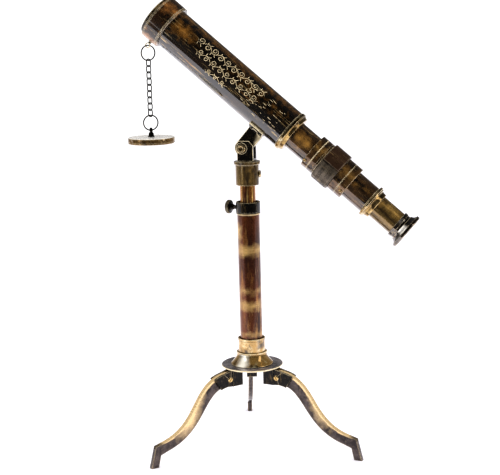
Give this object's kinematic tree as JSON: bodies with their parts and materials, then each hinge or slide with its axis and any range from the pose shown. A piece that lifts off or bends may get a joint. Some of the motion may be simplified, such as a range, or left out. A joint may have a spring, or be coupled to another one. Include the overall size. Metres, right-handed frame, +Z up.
{
  "type": "table telescope on folding tripod",
  "caption": "Antique-finish brass draw telescope with chained lens cap, on a sliding, tilting mast with three folding S-curved legs.",
  "frame": {"origin": "on the floor, under the middle of the object's bounding box", "axes": "+Z up through the column; +X towards the eyepiece side; +Y towards the rear leg"},
  "size_m": [0.3478, 0.2282, 0.5549],
  "materials": {
    "patina_brass": "dark antique patina, rubbed to amber and pale brass in streaks",
    "brown_brass": "polished brown patina",
    "gold_brass": "polished brass, stained brown",
    "copper_brass": "polished copper-brown patina",
    "black_brass": "blackened, with worn bright edges",
    "knurled_brass": "fine diamond knurl, dark",
    "leg_brass": "dark patina worn to gold in the middle of the legs",
    "glass": "clear polished"
  },
  "bodies": {
    "stand": {"base_plate": "gold_brass", "base_collar": "gold_brass", "base_bolt": "gold_brass", "column_tube": "brown_brass", "clamp_ring": "patina_brass", "leg_bracket_1": "black_brass", "leg_bracket_2": "black_brass", "leg_bracket_3": "black_brass", "leg_hinge_screw_1": "gold_brass", "leg_hinge_screw_2": "gold_brass", "leg_hinge_screw_3": "gold_brass"},
    "leg_1": {"leg_1": "leg_brass"},
    "leg_2": {"leg_2": "leg_brass"},
    "leg_3": {"leg_3": "leg_brass"},
    "thumb_screw": {"thumb_screw": "black_brass"},
    "mast": {"mast_tube": "copper_brass"},
    "head": {"head_collar": "brown_brass", "clevis": "black_brass", "pivot_bolt": "gold_brass", "pivot_washer": "black_brass", "pivot_nut": "patina_brass"},
    "lock_screw": {"swivel_lock_screw": "gold_brass"},
    "telescope": {"objective_lip_ring": "patina_brass", "objective_lens": "glass", "objective_bezel": "brown_brass", "main_tube": "patina_brass", "rear_flange": "gold_brass", "saddle_strap": "black_brass", "saddle_screw_near": "black_brass", "saddle_screw_far": "black_brass", "saddle_arm": "black_brass", "chain_lug": "black_brass"},
    "draw": {"draw_tube": "patina_brass", "erector_lens": "glass", "front_end_ring": "brown_brass", "front_ring_screw": "gold_brass", "focus_sleeve": "brown_brass", "rear_end_ring": "brown_brass", "rear_ring_screw": "gold_brass"},
    "focus_ring": {"focus_ring": "knurled_brass"},
    "eyepiece": {"focus_tube": "patina_brass", "drive_pin": "gold_brass", "eyepiece_ring": "gold_brass", "eyepiece_tube": "brown_brass", "field_lens": "glass", "eye_lens": "glass", "eyecup": "patina_brass"},
    "lug_ring": {"lug_ring": "black_brass"},
    "link_1": {"chain_link_1": "black_brass"},
    "link_2": {"chain_link_2": "black_brass"},
    "link_3": {"chain_link_3": "black_brass"},
    "link_4": {"chain_link_4": "black_brass"},
    "link_5": {"chain_link_5": "black_brass"},
    "link_6": {"chain_link_6": "black_brass"},
    "link_7": {"chain_link_7": "black_brass"},
    "link_8": {"chain_link_8": "black_brass"},
    "link_9": {"chain_link_9": "black_brass"},
    "cap_ring": {"cap_ring": "black_brass"},
    "cap": {"cap_stud": "black_brass", "lens_cap": "gold_brass"}
  },
  "joints": [
    {"name": "mast_slide", "type": "slide", "parent": "stand", "child": "mast", "axis": [0, 0, 1], "range_m": [-0.02, 0.1]},
    {"name": "head_swivel", "type": "hinge", "parent": "mast", "child": "head", "pos_m": [-0.02869, -0.03342, 0.3423], "axis": [0, 0, 1], "continuous": true},
    {"name": "telescope_tilt", "type": "hinge", "parent": "head", "child": "telescope", "pos_m": [-0.03255, -0.03234, 0.3743], "axis": [0.2689, 0.9632, 0], "range_deg": [-50.6, 34.4]},
    {"name": "draw_slide", "type": "slide", "parent": "telescope", "child": "draw", "axis": [0.7313, -0.2042, -0.6508], "range_m": [-0.027, 0.005]},
    {"name": "focus_turn", "type": "hinge", "parent": "draw", "child": "focus_ring", "pos_m": [-0.13488, -0.00377, 0.53569], "axis": [0.7313, -0.2042, -0.6508], "range_deg": [-60, 60]},
    {"name": "eyepiece_slide", "type": "slide", "parent": "draw", "child": "eyepiece", "axis": [0.7313, -0.2042, -0.6508], "range_m": [-0.0051, 0.0051]},
    {"name": "thumb_screw_turn", "type": "hinge", "parent": "stand", "child": "thumb_screw", "pos_m": [-0.02869, -0.03342, 0.301], "axis": [-0.8829, 0.4695, 0], "range_deg": [0, 360]},
    {"name": "lock_screw_turn", "type": "hinge", "parent": "head", "child": "lock_screw", "pos_m": [-0.02869, -0.03342, 0.3423], "axis": [0.998, -0.0628, 0], "range_deg": [0, 360]},
    {"name": "leg_fold_1", "type": "hinge", "parent": "stand", "child": "leg_1", "pos_m": [-0.02995, 0.00256, 0.092], "axis": [-0.9994, -0.0349, 0], "range_deg": [0, 50]},
    {"name": "leg_fold_2", "type": "hinge", "parent": "stand", "child": "leg_2", "pos_m": [-0.05922, -0.05249, 0.092], "axis": [0.5299, -0.848, 0], "range_deg": [0, 50]},
    {"name": "leg_fold_3", "type": "hinge", "parent": "stand", "child": "leg_3", "pos_m": [0.00309, -0.05032, 0.092], "axis": [0.4695, 0.8829, 0], "range_deg": [0, 50]},
    {"name": "ring_swing", "type": "hinge", "parent": "telescope", "child": "lug_ring", "pos_m": [-0.1453, -0.00086, 0.49848], "axis": [0.2689, 0.9632, 0], "range_deg": [-34.4, 50.6]},
    {"name": "link_1_swing", "type": "hinge", "parent": "lug_ring", "child": "link_1", "pos_m": [-0.1453, -0.00086, 0.48008], "axis": [0.8712, 0.4909, 0], "range_deg": [-25, 25]},
    {"name": "link_2_swing", "type": "hinge", "parent": "link_1", "child": "link_2", "pos_m": [-0.1453, -0.00086, 0.47258], "axis": [0.7923, -0.6101, 0], "range_deg": [-25, 25]},
    {"name": "link_3_swing", "type": "hinge", "parent": "link_2", "child": "link_3", "pos_m": [-0.1453, -0.00086, 0.46498], "axis": [-0.7385, -0.6743, 0], "range_deg": [-25, 25]},
    {"name": "link_4_swing", "type": "hinge", "parent": "link_3", "child": "link_4", "pos_m": [-0.1453, -0.00086, 0.45738], "axis": [-0.7923, 0.6101, 0], "range_deg": [-25, 25]},
    {"name": "link_5_swing", "type": "hinge", "parent": "link_4", "child": "link_5", "pos_m": [-0.1453, -0.00086, 0.44978], "axis": [0.7385, 0.6743, 0], "range_deg": [-25, 25]},
    {"name": "link_6_swing", "type": "hinge", "parent": "link_5", "child": "link_6", "pos_m": [-0.1453, -0.00086, 0.44218], "axis": [0.7923, -0.6101, 0], "range_deg": [-25, 25]},
    {"name": "link_7_swing", "type": "hinge", "parent": "link_6", "child": "link_7", "pos_m": [-0.1453, -0.00086, 0.43458], "axis": [-0.7385, -0.6743, 0], "range_deg": [-25, 25]},
    {"name": "link_8_swing", "type": "hinge", "parent": "link_7", "child": "link_8", "pos_m": [-0.1453, -0.00086, 0.42698], "axis": [-0.7923, 0.6101, 0], "range_deg": [-25, 25]},
    {"name": "link_9_swing", "type": "hinge", "parent": "link_8", "child": "link_9", "pos_m": [-0.1453, -0.00086, 0.41938], "axis": [0.7385, 0.6743, 0], "range_deg": [-25, 25]},
    {"name": "cap_ring_swing", "type": "hinge", "parent": "link_9", "child": "cap_ring", "pos_m": [-0.1453, -0.00086, 0.41178], "axis": [-0.7923, 0.6101, 0], "range_deg": [-25, 25]},
    {"name": "cap_swing", "type": "hinge", "parent": "cap_ring", "child": "cap", "pos_m": [-0.1453, -0.00086, 0.39518], "axis": [0.9432, 0.3322, 0], "range_deg": [-20, 20]}
  ],
  "couplings": [
    {"joint": "eyepiece_slide", "follows": "focus_turn", "m_per_rad": 0.0047746},
    {"joint": "ring_swing", "follows": "telescope_tilt", "ratio": -1}
  ]
}
